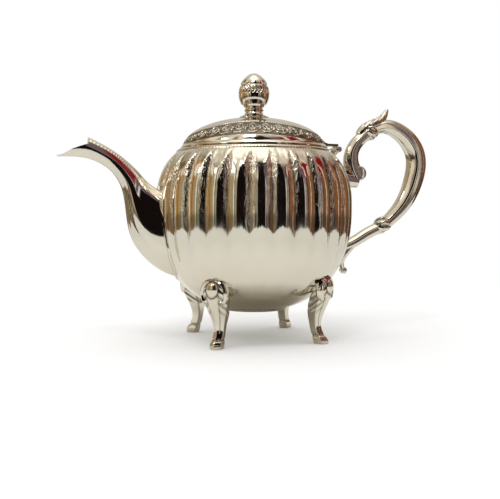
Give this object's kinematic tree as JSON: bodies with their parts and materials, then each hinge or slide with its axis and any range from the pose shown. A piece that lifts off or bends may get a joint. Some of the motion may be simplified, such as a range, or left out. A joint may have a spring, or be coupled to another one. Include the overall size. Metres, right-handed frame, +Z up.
{
  "type": "teapot",
  "caption": "Moroccan teapot with a melon-lobed body on four cabriole legs, a swan-neck spout, a cast C-shaped handle and a hinged domed lid with a turned finial.",
  "frame": {"origin": "the point on the table under the middle of the pot, on the body's axis", "axes": "+Z up, the spout points towards -X, the handle and the hinge are towards +X, the hinge pin lies along Y"},
  "size_m": [0.284, 0.1448, 0.1963],
  "materials": {
    "silver_plate": "polished",
    "brass_fixings": "satin"
  },
  "bodies": {
    "pot": {"body_shell": "silver_plate", "body_base": "silver_plate", "bottom_plate": "silver_plate", "mouth_ring": "silver_plate", "spout_shell": "silver_plate", "spout_collar": "silver_plate", "handle_socket": "silver_plate", "handle_branch": "silver_plate", "handle_collar": "silver_plate", "handle_leaf": "silver_plate", "handle_grip": "silver_plate", "handle_knuckle": "silver_plate", "handle_arm": "silver_plate", "hinge_bracket": "silver_plate", "hinge_pin": "brass_fixings", "leg_handle_left": "silver_plate", "leg_spout_left": "silver_plate", "leg_spout_right": "silver_plate", "leg_handle_right": "silver_plate"},
    "lid": {"lid_dome": "silver_plate", "lid_flange": "silver_plate", "lid_hinge_leaf": "silver_plate", "knob_rosette": "silver_plate", "knob_stem": "silver_plate", "knob_cup": "silver_plate", "knob_cap": "silver_plate", "knob_stud": "brass_fixings", "knob_washer": "brass_fixings", "knob_nut": "brass_fixings"}
  },
  "joints": [
    {"name": "lid_hinge", "type": "hinge", "parent": "pot", "child": "lid", "pos_m": [0.0655, 0, 0.1415], "axis": [0, 1, 0], "range_deg": [0, 100]}
  ]
}
